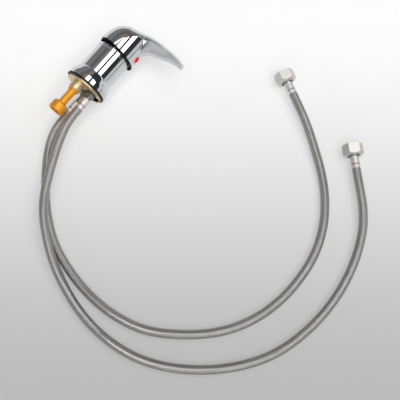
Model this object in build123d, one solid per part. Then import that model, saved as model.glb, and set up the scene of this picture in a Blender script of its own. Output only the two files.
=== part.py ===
"""Single-lever salon basin mixer with an outlet tailpiece and two braided inlet hoses.

The mixer lies on its side, as it comes out of the box: +X runs from the base seat up
the mixer's axis, +Y points away from the lever and +Z is up from the table. The origin is
the centre of the base seat. Every mixer piece is drawn upright first, with x towards the
lever, y sideways and z up the axis, and is then laid down. All sizes are millimetres.
"""
import math
import os

from build123d import *

# clearances
FIT = 0.05               # between pieces that are clamped or pressed together
RUN = 0.10               # between pieces that turn or slide in each other
PAST = 1.0               # how far a cut runs out beyond the surface that it opens

# body casting
CHAMBER_R = 20.1
BODY_WALL = 4.65
BODY_R = CHAMBER_R + BODY_WALL
BODY_H = 54.6
SEAT_FLARE = 4.75        # how much wider the base is than the barrel
SEAT_R = BODY_R + SEAT_FLARE   # the flared base, which also rests on the table
SEAT_EDGE = 5.0          # height of the straight edge of the flare
SKIRT_H = 19.0
FLARE_DROP = 1.9         # how far the flare has drawn in a little over half way up
FLARE_AT = 0.55          # of the flare's height, where that is measured
BODY_TOP_EDGE = 0.6      # bevel under the cover ring
BASE_SEAL_WIRE = 2.6
BASE_SEAL_PROUD = 1.3
SPIGOT_R = SEAT_R - BASE_SEAL_WIRE - 2 * FIT   # machined face inside the base seal
SPIGOT_H = 3.0
THREAD_STEP = 1.4        # how much wider the retaining nut's thread is than the chamber
NUT_THREAD_R = CHAMBER_R + THREAD_STEP
NUT_THREAD_DEPTH = 8.4
NUT_FOOT_H = 1.2         # the retaining nut's plain foot below its thread
BODY_TURN = 41.5         # the lever stands this far from the middle of the waterways

# waterways and fixings under the base, around the body's own middle line
PORT_CIRCLE_R = 13.0
PORT_HALF_ANGLE = 42.0
PORT_R = 4.55            # M10 x 1
PORT_DEPTH = 10.0
WATERWAY_R = 2.9
OUTLET_OFFSET = 9.7
OUTLET_BOSS_R = 8.6
OUTLET_BOSS_H = 11.0
OUTLET_BORE_R = 5.6
OUTLET_BORE_DEPTH = 12.0
STUD_R = 3.4             # M8 stud hole, minor radius
STUD_DEPTH = 12.0
STUD_AT = (-2.0, -15.5)
POCKET_RIM = 1.4         # between the pocket and the edge of the machined face
POCKET_W = 6.6
POCKET_OUT_R = SPIGOT_R - POCKET_RIM
POCKET_IN_R = POCKET_OUT_R - POCKET_W
POCKET_HALF_ANGLE = 41.0
POCKET_DEPTH = 12.0
BOSS_EDGE = 0.8

# ceramic cartridge, stacked down from the shoulder that the retaining nut holds
HOUSING_SHOULDER_H = BODY_H - NUT_THREAD_DEPTH - NUT_FOOT_H
HOUSING_WALL = 2.4
NUT_LEDGE_W = 4.5        # the housing's ledge that the retaining nut presses on
HOUSING_NECK_R = CHAMBER_R - NUT_LEDGE_W
HOUSING_NECK_WALL = 1.8
HOUSING_NECK_H = 10.5
HOUSING_EDGE = 0.8
HOUSING_TOP = HOUSING_SHOULDER_H + HOUSING_NECK_H
GUIDE_FLANGE_H = 3.85
CARRIER_H = 4.4
MOVING_DISC_H = 3.6
FIXED_DISC_H = 4.0
FOOT_H = 4.0
FOOT_GAP = 0.4
GUIDE_HIGH = HOUSING_SHOULDER_H - HOUSING_WALL - RUN   # top of the spindle guide's flange
GUIDE_LOW = GUIDE_HIGH - GUIDE_FLANGE_H
CARRIER_HIGH = GUIDE_LOW - RUN
CARRIER_LOW = CARRIER_HIGH - CARRIER_H
MOVING_LOW = CARRIER_LOW - FIT - MOVING_DISC_H
FIXED_LOW = MOVING_LOW - FIT - FIXED_DISC_H
FOOT_HIGH = FIXED_LOW - FIT
FOOT_LOW = FOOT_HIGH - FOOT_H
CHAMBER_FLOOR = FOOT_LOW - FOOT_GAP
PEG_R = 1.5
PEG_LENGTH = 2.2
PEG_CIRCLE = 15.0
CARTRIDGE_PORT_R = 3.4
CARTRIDGE_PORT_CIRCLE = 9.6
SEAL_RIM = 1.3
SEAL_LAND = 1.2          # thickness of the foot above its seals
PLATE_PORT_R = 3.0       # ports through the fixed ceramic disc
DISC_ROOM = 2.2          # between the fixed disc and the housing's wall
DISC_R = CHAMBER_R - RUN - HOUSING_WALL - DISC_ROOM
DISC_TRAVEL = 2.0        # how much smaller the moving disc is
MOVING_DISC_R = DISC_R - DISC_TRAVEL
MIXING_POCKET = (14.0, 9.0, 2.2)   # along the lever, across it, and its depth
MIXING_POCKET_CORNER = 3.0
MIXING_POCKET_BACK = 2.0
CARRIER_SLOT_W = 12.0
BALL_R = 2.6
BALL_DIP = 1.72          # how deep the ball end reaches into the carrier's slot
BALL_ROOM = 0.6          # under the ball end in that slot
BALL_NECK_R = 2.0
THROAT_L = 19.0          # opening through the spindle guide, along the lever
GUIDE_PROUD = 1.0        # the guide stands this much above the housing
PIVOT_RISE = 3.0         # the pivot pin lies this much above the housing's shoulder
PIVOT_Z = HOUSING_SHOULDER_H + PIVOT_RISE
REST_TILT = 5.0          # the closed lever leans this far towards its tip
# from the pivot pin to the middle of the ball end
SPINDLE_ARM = (PIVOT_Z - CARRIER_HIGH + BALL_DIP - BALL_R) / math.cos(math.radians(REST_TILT))
SPINDLE_SIDE = 9.0
SPINDLE_BELOW = 3.5      # the square part reaches this far below the pivot pin
SPINDLE_EDGE = 0.8
PIN_R = 1.5
PIN_SHORT = 0.8          # the pin's ends stay this far inside the guide
RETAINER_R = NUT_THREAD_R - 3 * FIT
RETAINER_BORE_R = HOUSING_NECK_R + 0.6
RETAINER_H = 8.0
RETAINER_KEY = 2 * (RETAINER_BORE_R + 0.8)   # across the flats of its spanner bore
RETAINER_KEY_DEPTH = 3.5

# chrome cover ring
COVER_R = BODY_R + 0.4
COVER_H = 6.4
COVER_TOP_Z = BODY_H + COVER_H
COVER_STRAIGHT = 3.4
COVER_MOUTH_R = HOUSING_NECK_R + 1.9
COVER_SHOULDER = 5.2     # how far its rounded shoulder reaches in
COVER_WALL = 1.2
COVER_FOOT_EDGE = 0.4

# lever
LEVER_R = SEAT_R         # equal to the base flare, so the mixer lies level
RIM_GAP = 1.3            # between the cover ring and the lever's rim
RIM_Z = COVER_TOP_Z + RIM_GAP
RING_H = 2.0
RING_BORE_R = COVER_R + 0.45
RING_EDGE = 0.5
NECK_IN = 1.2            # the front of the neck stands this far inside the dome
NECK_FRONT = LEVER_R - NECK_IN
NECK_SIDE_IN = 3.0       # its sides stand this far inside, under the hood's edge
NECK_R = LEVER_R - NECK_SIDE_IN
NECK_X = NECK_FRONT - NECK_R   # centre of the neck, in front of the axis
NECK_WALL = 3.8
CAVITY_R = NECK_FRONT - NECK_WALL
DOME_H = 39.0            # from the rim to the crown over the axis
DOME_TOP = RIM_Z + DOME_H
DOME_POWER = 2.8
BACK_IN = 2.5            # the dome reaches this much less behind the axis than beside it
DOME_BACK = LEVER_R - BACK_IN
CROWN_RISE = 0.19        # slope of the crown where it passes over the axis
CROWN_WALL = 11.3
CAVITY_TOP = DOME_TOP - CROWN_WALL
CAVITY_DOME_H = 16.0     # the hollow's straight wall ends this far below its top
CAVITY_SIDE_TOP = CAVITY_TOP - CAVITY_DOME_H
CAVITY_FLAT = 0.30       # of the hollow's radius, flat on top
CAVITY_BEND = (0.75, 0.69)   # a point of its dome, in shares of its radius and height
FORM_FOOT = RIM_Z - 8.3  # the lever's outer form is drawn down to here before it is cut
ARCH_STEPS = 6           # spans of each curve from the lever's side to its crown
TIP_R = 24.5             # rounding of the tip seen from above
TIP_X = 83.0
HUB_R = 8.6
HUB_LOW = RIM_Z + 3.7
SPINDLE_TOP = RIM_Z + 11.7
INDEX_R = 5.0
INDEX_Z = RIM_Z + 9.1
INDEX_DEPTH = 2.2
INDEX_PROUD = 0.25
INDEX_SPLIT = 0.9        # the two colours meet this far from the middle
SCREW_R = 2.5
SCREW_LENGTH = 6.0
SCREW_KEY = 2.5          # across the flats of its hexagon socket
SCREW_KEY_DEPTH = 2.4

# outlet tailpiece
TAIL_R = 5.6
TAIL_BORE_R = 4.0
TAIL_END = 51.0          # below the seat
SOCKET_R = 10.5
SOCKET_L = 13.0
SOCKET_BORE_R = 7.5      # G 3/8 female, minor radius
SOCKET_DEPTH = 10.5
SOCKET_BACK_EDGE = 2.0
SOCKET_MOUTH_EDGE = 0.7
TAIL_COLLAR_R = 7.2
TAIL_COLLAR_H = 2.2
OUTLET_SEAL_H = 2.0

# hoses and their fittings
HOSE_R = 6.0
HOSE_GAP = 0.02          # the hose is drawn this much thinner, so that it only touches
FERRULE_R = 5.7
FERRULE_L = 16.5
FERRULE_EDGE = 0.6
FERRULE_GROOVE = 0.45
FERRULE_GROOVE_W = 1.2
FERRULE_GROOVE_AT = 0.35 # of the ferrule's length, from its open end
STEM_GRIP = 1.5          # the stem ends this far inside the ferrule's open end
STEM_R = 3.9
STEM_BORE_R = 2.6
HEX_SIDE = 11.0          # across flats of the small hexagon at the mixer end
HEX_L = 4.0
HEX_GAP = 2.2            # between the base face and the small hexagon
INLET_SEAL_H = 1.8
INLET_SEAL_ROOM = 2.0
UPPER_STEM_L = 2.8
LOWER_STEM_L = 11.8
NUT_AF = 24.0
NUT_L = 15.0
NUT_WALL = 3.4
NUT_BACK_BEVEL = (2.9, 2.6)   # across and along, on the side towards the hose
NUT_FRONT_BEVEL = (0.8, 0.8)
NUT_BORE_R = 9.35        # G 1/2 female, minor radius
NUT_RELIEF_R = 10.5      # turned out behind the thread for the collar and washer
NUT_RELIEF_L = 4.9
NUT_HOLE_R = 7.0
UNION_COLLAR_R = NUT_BORE_R - 0.45
UNION_COLLAR_H = 2.2
UNION_NECK_R = 5.9
UNION_NECK_OUT = 1.0     # between the nut's back face and the ferrule
WASHER_H = 2.0
WASHER_BORE_R = 4.6

TABLE = -SEAT_R          # height of the table in the finished frame

# Corners of the two hose routes (x, y, height above the table), chosen by hand. Each route
# starts straight out of its ferrule under the base and ends straight into the ferrule
# behind its union nut. The upper hose rests on the lower one where they cross.
UPPER_CORNERS = [
    (-72.5, -20.3, 27.2), (-95.0, -29.2, 24.4), (-117.5, -39.6, 22.6), (-140.3, -51.6, 22.0),
    (-159.6, -66.2, 21.8), (-177.2, -85.4, 19.2), (-195.2, -109.2, 15.0), (-212.2, -140.2, 9.2),
    (-226.6, -180.6, 6.4), (-232.9, -223.1, 6.0), (-228.8, -268.7, 6.0), (-213.4, -309.6, 6.0),
    (-186.4, -349.4, 6.0), (-153.5, -382.2, 6.0), (-115.9, -406.2, 6.0), (-70.3, -419.5, 6.0),
    (-21.9, -423.7, 6.0), (26.1, -418.0, 6.0), (71.5, -402.6, 6.4), (100.6, -383.2, 9.4),
]
LOWER_CORNERS = [
    (-78.0, -6.4, 11.8), (-98.5, -17.2, 7.6), (-121.4, -34.0, 6.0), (-145.2, -54.7, 6.0),
    (-165.8, -78.0, 6.0), (-183.0, -104.3, 6.0), (-195.5, -138.9, 6.0), (-203.0, -175.1, 6.0),
    (-204.2, -215.7, 6.0), (-195.6, -258.6, 6.0), (-172.2, -297.4, 6.0), (-141.0, -333.0, 6.0),
    (-104.8, -356.9, 6.0), (-62.4, -370.4, 6.0), (-19.1, -373.1, 6.0), (20.9, -368.0, 6.0),
    (57.0, -353.3, 6.0), (86.8, -332.3, 6.0), (109.6, -309.2, 6.4), (129.2, -283.7, 8.2),
    (146.6, -259.7, 10.6),
]
UPPER_LEAD = 21.0        # straight run out of the ferrule at the mixer
LOWER_LEAD = 21.0
UNION_LEAD = 22.0        # straight run into the ferrule behind the nut
UPPER_NUT_AT = (156.4, -325.5)
UPPER_NUT_HEADING = 45.6
LOWER_NUT_AT = (183.6, -194.3)
LOWER_NUT_HEADING = 61.3

# the machined base face lies at the frame's origin
LAID = Plane(origin=(SPIGOT_H, 0, 0), x_dir=(0, -1, 0), z_dir=(1, 0, 0)).location


def laid(shape):
    """An upright mixer piece, laid on its side in the finished frame."""
    return LAID * shape


def disc(radius, low, high, x=0.0, y=0.0):
    """An upright round bar between two heights."""
    return Pos(x, y, (low + high) / 2) * Cylinder(radius, high - low)


def ring(outer, inner, low, high, x=0.0, y=0.0):
    """An upright tube between two heights."""
    return disc(outer, low, high, x, y) - disc(inner, low - 1, high + 1, x, y)


def across_pin(radius, length):
    """A round bar along the pivot pin's axis."""
    return Pos(0, 0, PIVOT_Z) * Rot(90, 0, 0) * Cylinder(radius, length)


def hexagon(across_flats, length):
    """A hexagon bar on the z axis, from zero upwards."""
    return extrude(RegularPolygon(across_flats / 2, 6, major_radius=False), length)


def about_body(shape):
    """A piece drawn about the body's middle line, turned to where it stands."""
    return Rot(0, 0, BODY_TURN) * shape


def port_place(sign):
    """Centre of an inlet port in the body's own frame: the sign picks the side."""
    angle = math.radians(sign * PORT_HALF_ANGLE)
    return PORT_CIRCLE_R * math.cos(angle), PORT_CIRCLE_R * math.sin(angle)


def cartridge_ports():
    """Centres of the cartridge's three ports: two inlets in front and the outlet behind."""
    inlets = [port_place(1), port_place(-1)]
    scale = CARTRIDGE_PORT_CIRCLE / PORT_CIRCLE_R
    return [(x * scale, y * scale) for x, y in inlets] + [(-CARTRIDGE_PORT_CIRCLE, 0.0)]


def body_outline():
    """Half section of the casting's outside, from the axis at the base to the axis on top."""
    bottom = Polyline((0, 0, -SPIGOT_H), (SPIGOT_R, 0, -SPIGOT_H), (SPIGOT_R, 0, 0), (SEAT_R, 0, 0))
    edge = Line((SEAT_R, 0, 0), (SEAT_R, 0, SEAT_EDGE))
    flare = Spline(
        (SEAT_R, 0, SEAT_EDGE),
        (SEAT_R - FLARE_DROP, 0, SEAT_EDGE + FLARE_AT * (SKIRT_H - SEAT_EDGE)),
        (BODY_R, 0, SKIRT_H),
        tangents=[(0, 0, 1), (-0.75, 0, 1)],
    )
    bevel = [(BODY_R, 0, BODY_H - BODY_TOP_EDGE), (BODY_R - BODY_TOP_EDGE, 0, BODY_H)]
    top = Polyline((BODY_R, 0, SKIRT_H), *bevel, (0, 0, BODY_H), (0, 0, -SPIGOT_H))
    return make_face(bottom + edge + flare + top)


def body_casting():
    face = -SPIGOT_H
    body = revolve(body_outline(), Axis.Z, 360)
    boss = disc(OUTLET_BOSS_R, face - OUTLET_BOSS_H, face + PAST, -OUTLET_OFFSET)
    body += chamfer(boss.edges().sort_by(Axis.Z)[0], BOSS_EDGE)
    body -= disc(CHAMBER_R, CHAMBER_FLOOR, BODY_H + PAST)
    body -= disc(NUT_THREAD_R, BODY_H - NUT_THREAD_DEPTH, BODY_H + PAST)
    body -= ring(SEAT_R + PAST, SPIGOT_R, face - PAST, BASE_SEAL_WIRE - BASE_SEAL_PROUD)
    between = (PORT_CIRCLE_R + CARTRIDGE_PORT_CIRCLE) / 2 / PORT_CIRCLE_R
    for sign in (1, -1):
        x, y = port_place(sign)
        body -= disc(PORT_R, face - PAST, face + PORT_DEPTH, x, y)
        body -= disc(WATERWAY_R, face + PORT_DEPTH - PAST, CHAMBER_FLOOR + PAST, x * between, y * between)
    body -= disc(OUTLET_BORE_R, face - OUTLET_BOSS_H - PAST, outlet_top(), -OUTLET_OFFSET)
    body -= disc(WATERWAY_R, outlet_top() - PAST, CHAMBER_FLOOR + PAST, -OUTLET_OFFSET)
    body -= disc(STUD_R, face - PAST, face + STUD_DEPTH, *STUD_AT)
    for x, y in peg_places():
        body -= disc(PEG_R + RUN, CHAMBER_FLOOR - PEG_LENGTH - FIT, CHAMBER_FLOOR + PAST, x, y)
    body -= pocket()
    return about_body(body)


def pocket():
    """The cast hollow in the base face, beyond the two inlet ports."""
    low = -SPIGOT_H - PAST
    hollow = ring(POCKET_OUT_R, POCKET_IN_R, low, -SPIGOT_H + POCKET_DEPTH)
    angle = math.radians(POCKET_HALF_ANGLE)
    reach = 2 * POCKET_OUT_R
    x, y = reach * math.cos(angle), reach * math.sin(angle)
    wedge = make_face(Polyline((0, 0), (x, y), (reach, 0), (x, -y), close=True))
    return hollow & Pos(0, 0, low) * extrude(wedge, POCKET_DEPTH + 2 * PAST)


def peg_places():
    """Where the cartridge's two pegs drop into the chamber floor."""
    return [(0.0, PEG_CIRCLE), (0.0, -PEG_CIRCLE)]


def base_seal():
    centre = SPIGOT_R + FIT + BASE_SEAL_WIRE / 2
    section = Pos(centre, 0, BASE_SEAL_WIRE / 2 - BASE_SEAL_PROUD) * Rot(90, 0, 0)
    return revolve(section * Circle(BASE_SEAL_WIRE / 2 - FIT / 2), Axis.Z, 360)


def cartridge_foot():
    foot = disc(CHAMBER_R - RUN, FOOT_LOW, FOOT_HIGH)
    for x, y in cartridge_ports():
        foot -= disc(CARTRIDGE_PORT_R, FOOT_LOW - PAST, FOOT_HIGH + PAST, x, y)
        foot -= disc(CARTRIDGE_PORT_R + SEAL_RIM + FIT, FOOT_LOW - PAST, FOOT_HIGH - SEAL_LAND, x, y)
    for x, y in peg_places():
        foot += disc(PEG_R, CHAMBER_FLOOR - PEG_LENGTH, FOOT_LOW + PAST, x, y)
    return about_body(foot)


def cartridge_port_seals():
    low = CHAMBER_FLOOR + FIT
    high = FOOT_HIGH - SEAL_LAND - FIT
    inner = CARTRIDGE_PORT_R
    seals = [ring(inner + SEAL_RIM, inner, low, high, x, y) for x, y in cartridge_ports()]
    return Compound([about_body(seal) for seal in seals])


def cartridge_housing():
    low = FOOT_HIGH + FIT
    outer = CHAMBER_R - RUN
    shell = disc(outer, low, HOUSING_SHOULDER_H)
    shell = chamfer(shell.edges().sort_by(Axis.Z)[-1], HOUSING_EDGE)
    shell += disc(HOUSING_NECK_R, HOUSING_SHOULDER_H - HOUSING_WALL, HOUSING_TOP)
    shell -= disc(outer - HOUSING_WALL, low - PAST, HOUSING_SHOULDER_H - HOUSING_WALL)
    shell -= disc(HOUSING_NECK_R - HOUSING_NECK_WALL, low, HOUSING_TOP + PAST)
    return shell


def fixed_disc():
    high = FIXED_LOW + FIXED_DISC_H
    plate = disc(DISC_R, FIXED_LOW, high)
    for x, y in cartridge_ports():
        plate -= disc(PLATE_PORT_R, FIXED_LOW - PAST, high + PAST, x, y)
    return about_body(plate)


def rest_shift():
    """How far the closed lever's ball end stands behind the pivot."""
    return SPINDLE_ARM * math.sin(math.radians(REST_TILT))


def moving_disc():
    plate = disc(MOVING_DISC_R, MOVING_LOW, MOVING_LOW + MOVING_DISC_H, -rest_shift())
    along, across, deep = MIXING_POCKET
    mixing = Pos(-rest_shift() - MIXING_POCKET_BACK, 0, MOVING_LOW) * Box(along, across, 2 * deep)
    return plate - fillet(mixing.edges().filter_by(Axis.Z), MIXING_POCKET_CORNER)


def disc_carrier():
    carrier = disc(MOVING_DISC_R, CARRIER_LOW, CARRIER_HIGH, -rest_shift())
    slot = Box(2 * (BALL_R + RUN), CARRIER_SLOT_W, 2 * (BALL_DIP + BALL_ROOM))
    return carrier - Pos(-rest_shift(), 0, CARRIER_HIGH) * slot


def spindle_guide():
    """The collar that turns in the housing with the lever and carries its pivot pin."""
    high = HOUSING_TOP + GUIDE_PROUD
    guide = disc(CHAMBER_R - RUN - HOUSING_WALL - RUN, GUIDE_LOW, GUIDE_HIGH)
    guide += disc(guide_neck_r(), GUIDE_LOW, high)
    throat = Box(THROAT_L, SPINDLE_SIDE + 2 * RUN, high - GUIDE_LOW + 2 * PAST)
    guide -= Pos(0, 0, (GUIDE_LOW + high) / 2) * throat
    return guide - across_pin(PIN_R + FIT, 2 * CHAMBER_R)


def guide_neck_r():
    return HOUSING_NECK_R - HOUSING_NECK_WALL - RUN


def pivot_pin():
    return across_pin(PIN_R, 2 * (guide_neck_r() - PIN_SHORT))


def tilted(shape):
    """A piece of the closed lever, leaned with it about the pivot pin."""
    return Pos(0, 0, PIVOT_Z) * Rot(0, REST_TILT, 0) * Pos(0, 0, -PIVOT_Z) * shape


def spindle():
    bar = square_bar(SPINDLE_SIDE, PIVOT_Z - SPINDLE_BELOW, SPINDLE_TOP)
    bar = chamfer(bar.edges().sort_by(Axis.Z)[-4:], SPINDLE_EDGE)
    stalk = disc(BALL_NECK_R, PIVOT_Z - SPINDLE_ARM, PIVOT_Z)
    ball = Pos(0, 0, PIVOT_Z - SPINDLE_ARM) * Sphere(BALL_R)
    return tilted(bar + stalk + ball - across_pin(PIN_R + FIT, 2 * SPINDLE_SIDE))


def square_bar(side, low, high):
    """An upright square bar between two heights."""
    return Pos(0, 0, (low + high) / 2) * Box(side, side, high - low)


def retaining_nut():
    low = HOUSING_SHOULDER_H + FIT
    high = low + RETAINER_H
    thread_low = BODY_H - NUT_THREAD_DEPTH + FIT
    nut = disc(RETAINER_R, thread_low, high)
    nut += disc(CHAMBER_R - RUN, low, thread_low + PAST)
    nut -= disc(RETAINER_BORE_R, low - PAST, high + PAST)
    return nut - Pos(0, 0, high - RETAINER_KEY_DEPTH) * hexagon(RETAINER_KEY, RETAINER_KEY_DEPTH + PAST)


def cover_ring():
    """Half section turned about the axis: a straight wall, a shoulder arc and an open mouth."""
    low = BODY_H + FIT
    wall_top = low + COVER_STRAIGHT
    shoulder = COVER_R - COVER_SHOULDER
    under = COVER_TOP_Z - COVER_WALL
    inner = COVER_R - COVER_WALL
    outside = EllipticalCenterArc(
        (shoulder, wall_top), COVER_SHOULDER, COVER_TOP_Z - wall_top, start_angle=0, arc_size=90
    )
    inside = EllipticalCenterArc(
        (shoulder, wall_top), inner - shoulder, under - wall_top, start_angle=0, arc_size=90
    )
    mouth = Polyline(
        (shoulder, COVER_TOP_Z), (COVER_MOUTH_R, COVER_TOP_Z), (COVER_MOUTH_R, under), (shoulder, under)
    )
    foot = Polyline(
        (inner, wall_top), (inner, low), (COVER_R - COVER_FOOT_EDGE, low),
        (COVER_R, low + COVER_FOOT_EDGE), (COVER_R, wall_top)
    )
    section = make_face(outside + mouth + inside + foot)
    return revolve(Plane.XZ.location * section, Axis.Z, 360)


def half_arch(half_width, low, high, power):
    """Points from the side of a lever section up to its crown: a quarter of a superellipse."""
    points = []
    for i in range(ARCH_STEPS + 1):
        angle = math.pi / 2 * i / ARCH_STEPS
        across = half_width * math.cos(angle) ** (2 / power) if i < ARCH_STEPS else 0.0
        points.append((across, low + (high - low) * math.sin(angle) ** (2 / power)))
    return points


def lever_section(x, half_width, low, high, power):
    """One face across the lever at distance x, with straight walls from the arch to its foot."""
    points = half_arch(half_width, low, high, power)
    left = Spline([(x, y, z) for y, z in points], tangents=[(0, 0, 1), (0, -1, 0)])
    right = Spline([(x, -y, z) for y, z in points], tangents=[(0, 0, 1), (0, 1, 0)])
    feet = [(x, -half_width, FORM_FOOT), (x, half_width, FORM_FOOT)]
    return make_face(left + right + Polyline((x, -half_width, low), *feet, (x, half_width, low)))


# x from the axis, how much narrower than the dome, start of the arch below the dome's top,
# crown above the dome's top, and power of each section
LEVER_SECTIONS = [
    (0.0, 0.0, 36.3, 0.0, DOME_POWER),
    (5.0, 0.2, 33.8, 1.0, 2.7),
    (15.0, 1.5, 25.3, 3.1, 2.5),
    (30.0, 4.5, 12.3, 5.9, 2.3),
    (45.0, 8.0, 7.3, 6.6, 2.2),
    (TIP_X - 23.0, 11.7, 5.0, 6.3, 2.1),
    (TIP_X - 11.0, 14.7, 4.7, 4.9, 2.1),
    (TIP_X + 1.0, 17.7, 6.0, 1.2, 2.1),
]
# lower edge of the hood along the lever, in the middle plane: x and depth below the dome's top
HOOD_EDGE = [
    (0.0, DOME_H + 0.8), (4.3, 25.0), (13.3, 12.1), (22.4, 6.7), (35.7, 2.9), (50.0, 0.7),
    (TIP_X - 18.3, -0.3), (TIP_X - 5.0, 1.1), (TIP_X + 7.0, 3.3),
]
# sections of the lever's belly: x, how much narrower than the dome, and how far its lowest
# point and its flat top lie below the dome's top
BELLY_SECTIONS = [
    (NECK_FRONT - 8.3, 14.5, 35.3, 7.3),
    (NECK_FRONT - 0.8, 11.5, 24.8, 3.8),
    (NECK_FRONT + 5.7, 8.7, 15.7, 1.7),
    (NECK_FRONT + 13.7, 10.0, 11.9, 0.3),
    (TIP_X - 28.0, 12.9, 8.3, -1.0),
    (TIP_X - 15.0, 15.7, 4.9, -1.4),
    (TIP_X - 4.0, 18.5, 2.5, -0.3),
]
BELLY_SLOPE = 1.3        # at its upper edges, against a straight run to its lowest point


def lever_rows():
    """The sections' own sizes: x, half width, start of the arch, crown and power."""
    return [
        (x, LEVER_R - inset, DOME_TOP - drop, DOME_TOP + rise, power)
        for x, inset, drop, rise, power in LEVER_SECTIONS
    ]


def lever_form():
    """The outer form of the lever before anything is cut away."""
    rows = lever_rows()
    front = loft([lever_section(*row) for row in rows])
    x, half_width, low, high, power = rows[0]
    points = half_arch(half_width, low, high, power)
    curve = Spline([(r, 0, z) for r, z in points], tangents=[(0, 0, 1), (-1, 0, 0)])
    sides = Polyline((x, 0, high), (x, 0, FORM_FOOT), (half_width, 0, FORM_FOOT), (half_width, 0, low))
    back = Rot(0, 0, 90) * revolve(make_face(curve + sides), Axis.Z, 180)
    lean = Matrix([[DOME_BACK / half_width, 0, 0, 0], [0, 1, 0, 0], [CROWN_RISE, 0, 1, 0]])
    return back.transform_geometry(lean) + front


def belly():
    """The rounded underside that runs from the neck out to the lever's tip."""
    faces = []
    for x, inset, low_drop, high_drop in BELLY_SECTIONS:
        half_width, low, high = LEVER_R - inset, DOME_TOP - low_drop, DOME_TOP - high_drop
        slope = BELLY_SLOPE * (high - low) / half_width
        left, right = (x, -half_width, high), (x, half_width, high)
        under = Spline([left, (x, 0, low), right], tangents=[(0, 1, -slope), (0, 1, slope)])
        faces.append(make_face(under + Line(right, left)))
    return loft(faces)


def below_edge():
    """Everything under the hood's lower edge, to be cut away beside the neck."""
    points = [(x, 0, DOME_TOP - drop) for x, drop in HOOD_EDGE]
    edge = Spline(points, tangents=[(0.15, 0, 1), (1, 0, -0.2)])
    first, last = points[0], points[-1]
    low = FORM_FOOT - PAST
    rest = Polyline(last, (last[0], 0, low), (first[0], 0, low), first)
    return extrude(make_face(edge + rest), LEVER_R + PAST, both=True)


def past_tip():
    """What the lever's form loses so that its tip is rounded seen from above."""
    middle = TIP_X - TIP_R
    block = Pos(middle + TIP_R, 0, DOME_TOP) * Box(2 * TIP_R, 2 * LEVER_R, 2 * LEVER_R)
    return block - Pos(middle, 0, DOME_TOP) * Cylinder(TIP_R, 2 * LEVER_R + PAST)


def neck(grow):
    """The round neck in front of the axis, under the hood."""
    return disc(NECK_R + grow, FORM_FOOT, DOME_TOP, NECK_X)


def handle():
    form = lever_form()
    shell = form - below_edge()
    shell += form & neck(0.0)
    shell += form & belly()
    shell -= past_tip()
    shell -= revolve(cavity_face(), Axis.Z, 360)
    shell += tilted(disc(HUB_R, HUB_LOW, CAVITY_TOP + PAST)) & form
    shell -= tilted(square_bar(SPINDLE_SIDE + 2 * RUN, HUB_LOW - PAST, SPINDLE_TOP + PAST))
    shell -= tilted(screw_line(SCREW_R + FIT, 0, NECK_FRONT + PAST))
    shell -= index_block(FIT)
    shell -= tilted(disc(2 * LEVER_R, FORM_FOOT - 2 * SPINDLE_ARM, RIM_Z))
    return shell


def cavity_face():
    """Half section of the hollow under the lever's dome."""
    flat = CAVITY_FLAT * CAVITY_R
    out, up = CAVITY_BEND
    bend = (out * CAVITY_R, 0, CAVITY_SIDE_TOP + up * CAVITY_DOME_H)
    dome = ThreePointArc((CAVITY_R, 0, CAVITY_SIDE_TOP), bend, (flat, 0, CAVITY_TOP))
    foot = FORM_FOOT - PAST
    top = Polyline((flat, 0, CAVITY_TOP), (0, 0, CAVITY_TOP), (0, 0, foot))
    side = Polyline((0, 0, foot), (CAVITY_R, 0, foot), (CAVITY_R, 0, CAVITY_SIDE_TOP))
    return make_face(dome + top + side)


def index_block(grow):
    """The round recess in the front of the neck that the two halves of the index plug fill."""
    start = NECK_FRONT - INDEX_DEPTH - grow
    return Plane(origin=(start, 0, INDEX_Z), z_dir=(1, 0, 0)) * extrude(Circle(INDEX_R + grow), INDEX_R)


def index_half(side):
    """One colour of the plug, a little proud of the neck: -1 is the hot side, 1 the cold one."""
    plug = index_block(0) & neck(INDEX_PROUD)
    middle = INDEX_SPLIT + side * (INDEX_R + FIT / 2 + PAST)
    return plug & Pos(NECK_FRONT, middle, INDEX_Z) * Box(4 * INDEX_R, 2 * (INDEX_R + PAST), 4 * INDEX_R)


def half_oval(reach, side):
    """Half of the black ring's outline: side -1 lies behind the axis, 1 in front of it."""
    oval = Ellipse(reach - RUN, LEVER_R - RUN)
    return oval & Pos(side * LEVER_R, 0) * Rectangle(2 * LEVER_R, 2 * LEVER_R)


def handle_ring():
    """The black ring under the lever's rim, with the rim's outline and a round bore."""
    outline = half_oval(DOME_BACK, -1) + half_oval(NECK_FRONT, 1)
    band = Pos(0, 0, RIM_Z - RING_H) * extrude(outline, RING_H - FIT)
    band = fillet(band.edges().filter_by(GeomType.ELLIPSE), RING_EDGE)
    return tilted(band - disc(RING_BORE_R, RIM_Z - RING_H - PAST, RIM_Z + PAST))


def screw_line(radius, start, end):
    """A round bar along the grub screw's axis, between two distances from the mixer's axis."""
    return Plane(origin=(start, 0, INDEX_Z), z_dir=(1, 0, 0)) * extrude(Circle(radius), end - start)


def grub_screw():
    start = SPINDLE_SIDE / 2 + RUN
    end = start + SCREW_LENGTH
    key = Plane(origin=(end - SCREW_KEY_DEPTH, 0, INDEX_Z), z_dir=(1, 0, 0))
    return tilted(screw_line(SCREW_R, start, end) - key * hexagon(SCREW_KEY, SCREW_KEY_DEPTH + PAST))


def outlet_top():
    return -SPIGOT_H - OUTLET_BOSS_H + OUTLET_BORE_DEPTH


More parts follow.
